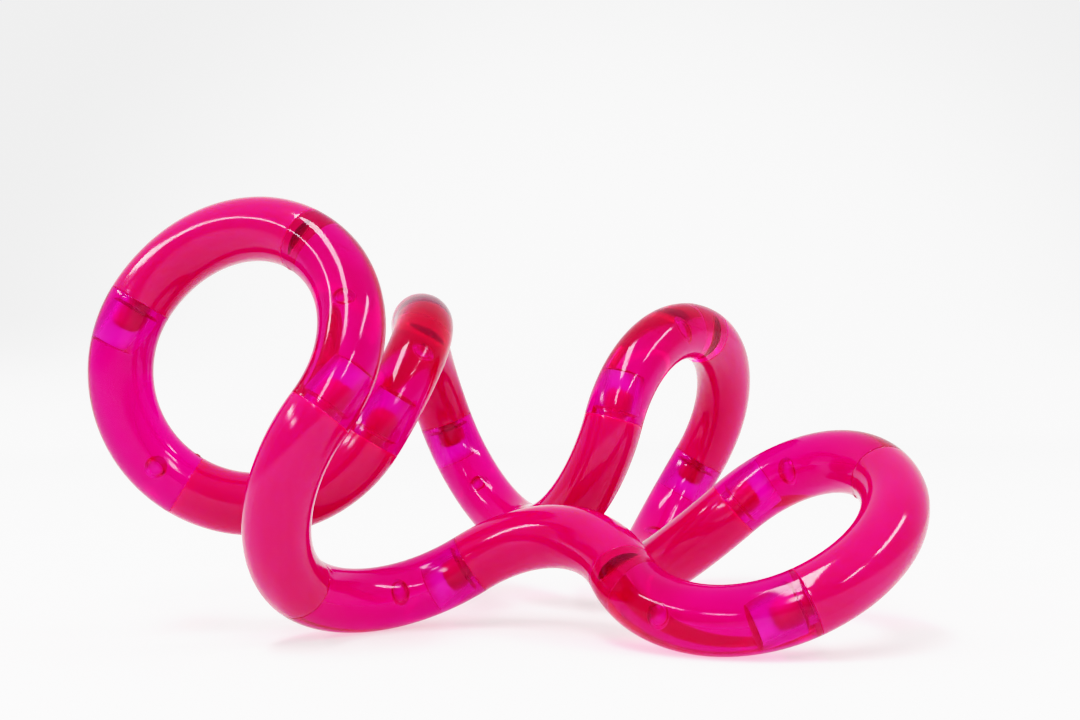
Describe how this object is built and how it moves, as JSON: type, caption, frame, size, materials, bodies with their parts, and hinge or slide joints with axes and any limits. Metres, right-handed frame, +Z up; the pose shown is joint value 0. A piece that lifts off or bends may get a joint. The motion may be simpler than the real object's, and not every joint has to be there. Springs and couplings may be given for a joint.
{
  "type": "twisty snake puzzle",
  "caption": "Hand-held twisting puzzle: a closed loop of round quarter-ring links joined by snap swivels, opaque pink and clear pink in turn, standing on a table.",
  "frame": {"origin": "centre of the bottom of the bounding box, on the table that the loop stands on", "axes": "+X to the right along the longest extent, +Y to the back, +Z up"},
  "size_m": [0.1216, 0.0886, 0.0646],
  "materials": {
    "opaque_pink_plastic": "polished opaque hot pink moulding",
    "clear_pink_plastic": "polished clear moulding tinted magenta"
  },
  "bodies": {
    "link_01": {"link_01_pink": "opaque_pink_plastic"},
    "link_02": {"link_02_clear": "clear_pink_plastic"},
    "link_03": {"link_03_pink": "opaque_pink_plastic"},
    "link_04": {"link_04_clear": "clear_pink_plastic"},
    "link_05": {"link_05_pink": "opaque_pink_plastic"},
    "link_06": {"link_06_clear": "clear_pink_plastic"},
    "link_07": {"link_07_pink": "opaque_pink_plastic"},
    "link_08": {"link_08_clear": "clear_pink_plastic"},
    "link_09": {"link_09_pink": "opaque_pink_plastic"},
    "link_10": {"link_10_clear": "clear_pink_plastic"},
    "link_11": {"link_11_pink": "opaque_pink_plastic"},
    "link_12": {"link_12_clear": "clear_pink_plastic"},
    "link_13": {"link_13_pink": "opaque_pink_plastic"},
    "link_14": {"link_14_clear": "clear_pink_plastic"},
    "link_15": {"link_15_pink": "opaque_pink_plastic"},
    "link_16": {"link_16_clear": "clear_pink_plastic"},
    "link_17": {"link_17_pink": "opaque_pink_plastic"},
    "link_18": {"link_18_clear": "clear_pink_plastic"}
  },
  "joints": [
    {"name": "swivel_17_18", "type": "hinge", "parent": "link_17", "child": "link_18", "pos_m": [-0.0468, -0.01172, 0.0222], "axis": [0.8382, 0.1297, -0.5297], "range_deg": [0, 195]},
    {"name": "swivel_18_01", "type": "hinge", "parent": "link_18", "child": "link_01", "pos_m": [-0.05302, -0.01316, 0.04976], "axis": [-0.5269, -0.0577, -0.848], "range_deg": [0, 270]},
    {"name": "swivel_01_02", "type": "hinge", "parent": "link_01", "child": "link_02", "pos_m": [-0.0271, -0.02114, 0.05777], "axis": [-0.7693, 0.4565, 0.447], "range_deg": [0, 255]},
    {"name": "swivel_02_03", "type": "hinge", "parent": "link_02", "child": "link_03", "pos_m": [-0.02329, -0.0343, 0.03303], "axis": [0.5788, 0.2018, 0.7901], "range_deg": [-195, 0]},
    {"name": "swivel_03_04", "type": "hinge", "parent": "link_03", "child": "link_04", "pos_m": [-0.02818, -0.02184, 0.00812], "axis": [0.3341, 0.8251, -0.4556], "range_deg": [0, 240]},
    {"name": "swivel_04_05", "type": "hinge", "parent": "link_04", "child": "link_05", "pos_m": [-0.00447, -0.00647, 0.00944], "axis": [0.8513, -0.0567, 0.5216], "range_deg": [-150, 0]},
    {"name": "swivel_05_06", "type": "hinge", "parent": "link_05", "child": "link_06", "pos_m": [0.0177, -0.02403, 0.00969], "axis": [-0.2572, 0.8214, 0.509], "continuous": true},
    {"name": "swivel_06_07", "type": "hinge", "parent": "link_06", "child": "link_07", "pos_m": [0.0412, -0.0396, 0.0074], "axis": [-0.918, -0.0431, -0.3942], "continuous": true},
    {"name": "swivel_16_17", "type": "hinge", "parent": "link_17", "child": "link_16", "pos_m": [-0.01943, -0.00847, 0.02855], "axis": [0.5302, 0.0329, 0.8472], "range_deg": [0, 66]},
    {"name": "swivel_15_16", "type": "hinge", "parent": "link_16", "child": "link_15", "pos_m": [-0.01306, 0.01164, 0.04739], "axis": [-0.2119, 0.9727, 0.0948], "range_deg": [-135, 15]},
    {"name": "swivel_14_15", "type": "hinge", "parent": "link_15", "child": "link_14", "pos_m": [-0.01085, 0.03432, 0.03063], "axis": [0.3223, 0.1612, -0.9328], "range_deg": [-225, 0]},
    {"name": "swivel_13_14", "type": "hinge", "parent": "link_14", "child": "link_13", "pos_m": [0.00414, 0.01946, 0.01181], "axis": [-0.4271, 0.9041, 0.0086], "range_deg": [-45, 0]},
    {"name": "swivel_12_13", "type": "hinge", "parent": "link_13", "child": "link_12", "pos_m": [0.01802, 0.00372, 0.03077], "axis": [-0.267, -0.117, -0.9566], "range_deg": [-27, 0]},
    {"name": "swivel_11_12", "type": "hinge", "parent": "link_12", "child": "link_11", "pos_m": [0.03435, 0.022, 0.04488], "axis": [0.5495, 0.797, -0.2508], "range_deg": [-195, 0]},
    {"name": "swivel_10_11", "type": "hinge", "parent": "link_11", "child": "link_10", "pos_m": [0.03511, 0.03961, 0.02276], "axis": [0.5116, -0.0836, 0.8551], "range_deg": [0, 255]},
    {"name": "swivel_09_10", "type": "hinge", "parent": "link_10", "child": "link_09", "pos_m": [0.02316, 0.02138, 0.00473], "axis": [-0.0855, -0.9953, -0.0462], "range_deg": [-180, 30]},
    {"name": "swivel_08_09", "type": "hinge", "parent": "link_09", "child": "link_08", "pos_m": [0.03653, -0.00043, 0.01682], "axis": [-0.7538, 0.0949, -0.6502], "continuous": true}
  ]
}
